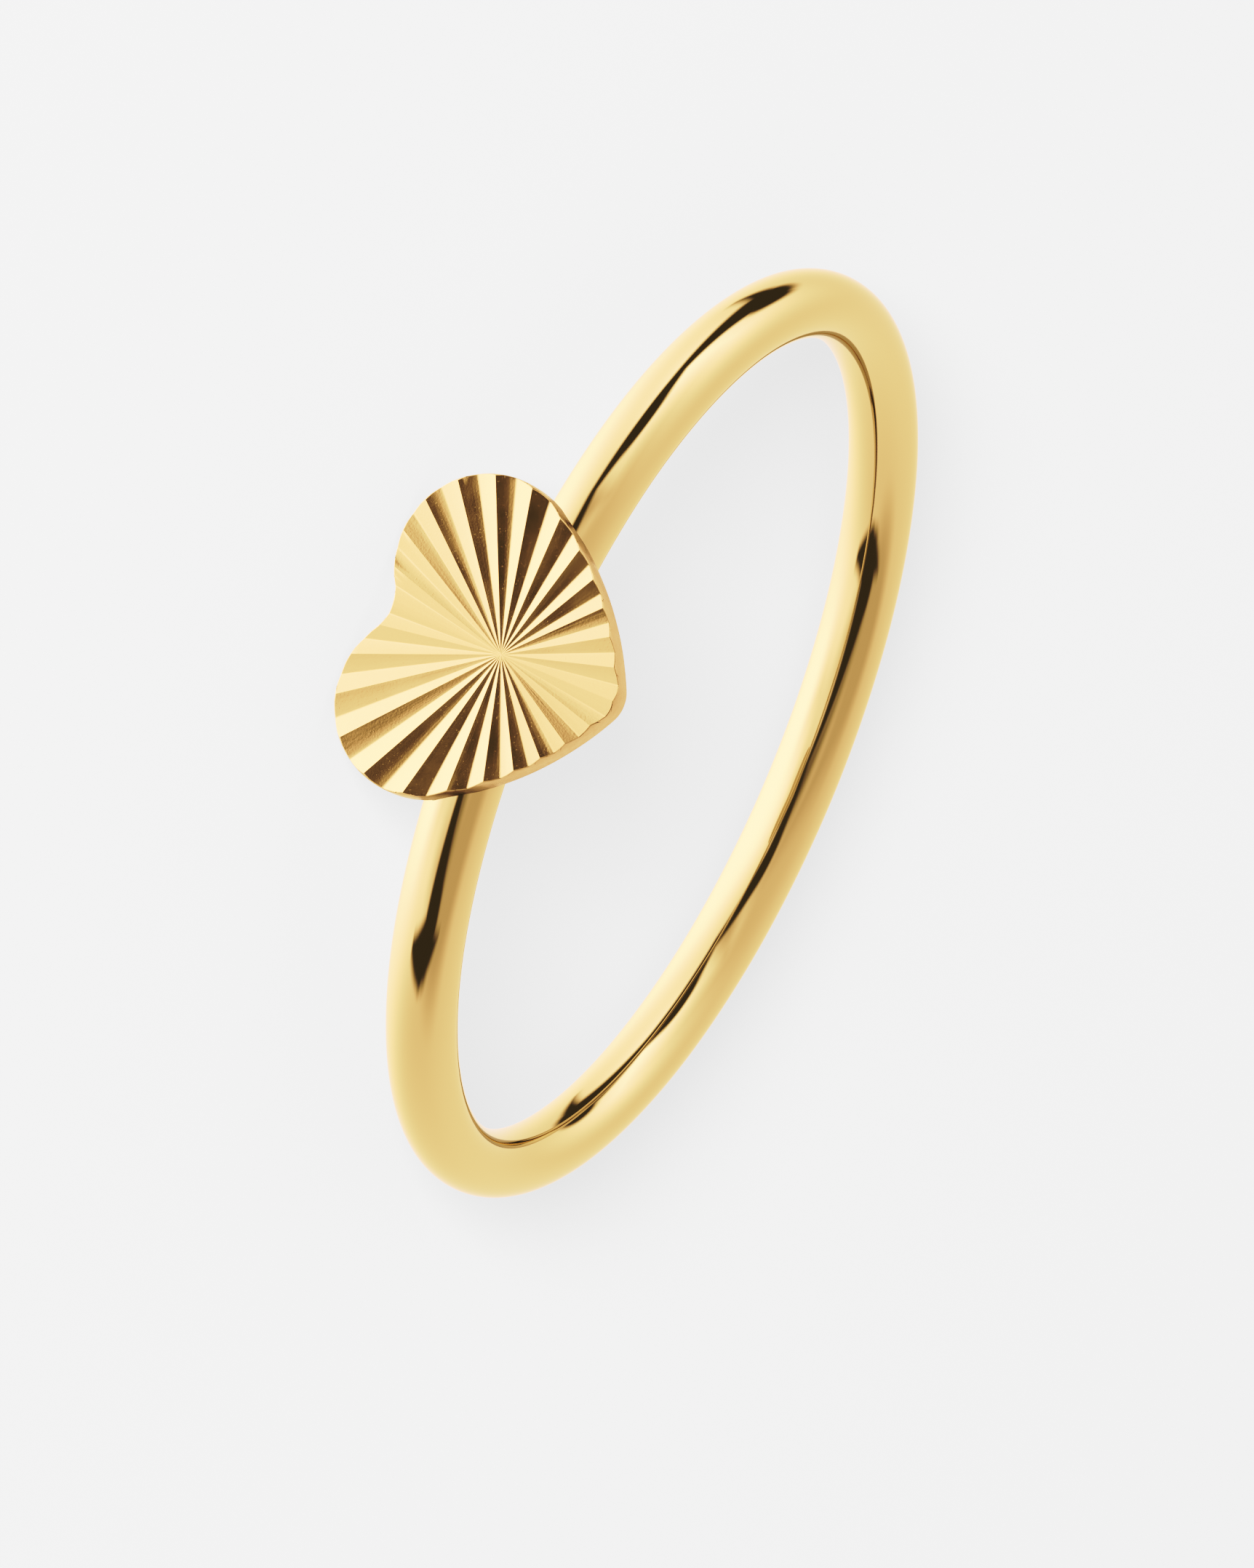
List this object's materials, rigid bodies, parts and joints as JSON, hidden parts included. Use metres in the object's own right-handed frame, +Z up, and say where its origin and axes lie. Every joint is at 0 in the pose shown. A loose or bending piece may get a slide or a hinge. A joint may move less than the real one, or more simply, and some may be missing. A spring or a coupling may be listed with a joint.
{
  "type": "gold ring",
  "caption": "Thin round-wire finger ring with a flat heart plate, its face cut with a fan of radial V-grooves.",
  "frame": {"origin": "on the surface that the ring lies on, under the middle of its bounding box", "axes": "+Z up, -Y the way the heart faces, +X along the heart's width; the finger hole's axis leans 6.8 degrees from +Z towards +Y"},
  "size_m": [0.02, 0.0202, 0.0055],
  "materials": {
    "gold": "polished"
  },
  "bodies": {
    "root": {"heart_ring": "gold"}
  },
  "joints": []
}
